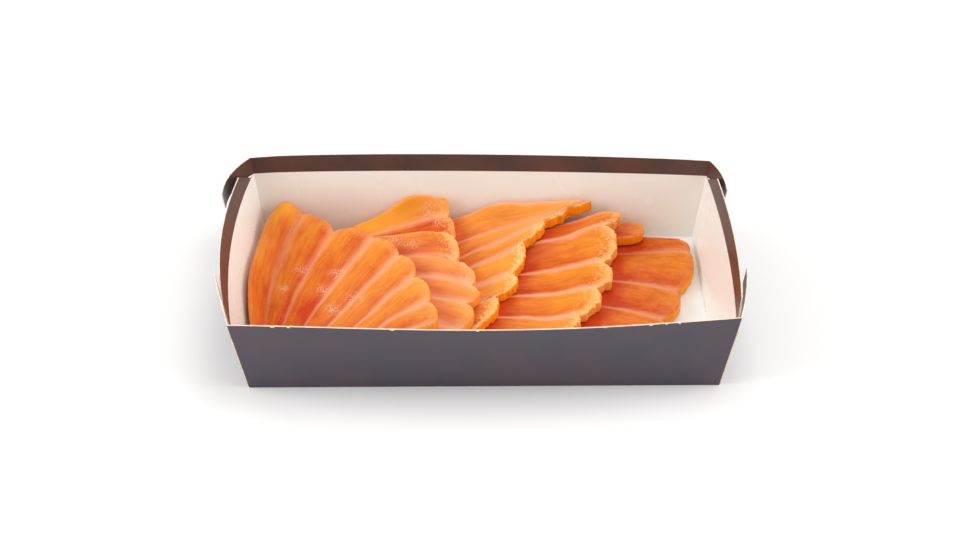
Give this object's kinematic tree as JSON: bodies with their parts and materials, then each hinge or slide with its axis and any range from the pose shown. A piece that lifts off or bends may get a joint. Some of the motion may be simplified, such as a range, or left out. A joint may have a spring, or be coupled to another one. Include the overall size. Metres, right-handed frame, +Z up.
{
  "type": "salmon sashimi in a folded paper tray",
  "caption": "Raw salmon slices laid overlapping in a low rectangular tray folded from dark paperboard.",
  "frame": {"origin": "on the underside of the tray, at the middle of the object's bounding box", "axes": "+X along the tray's long side towards the end with bare floor, +Y from the near long wall to the far one, +Z up"},
  "size_m": [0.2044, 0.1072, 0.038],
  "materials": {
    "dark_board": "satin dark paperboard, white on the food side",
    "raw_salmon": "wet raw salmon, orange with pale lines between the flakes"
  },
  "bodies": {
    "root": {"tray": "dark_board", "salmon_slice_1": "raw_salmon", "salmon_slice_2": "raw_salmon", "salmon_slice_3": "raw_salmon", "salmon_slice_4": "raw_salmon", "salmon_slice_5": "raw_salmon", "salmon_slice_6": "raw_salmon", "salmon_slice_7": "raw_salmon"}
  },
  "joints": []
}
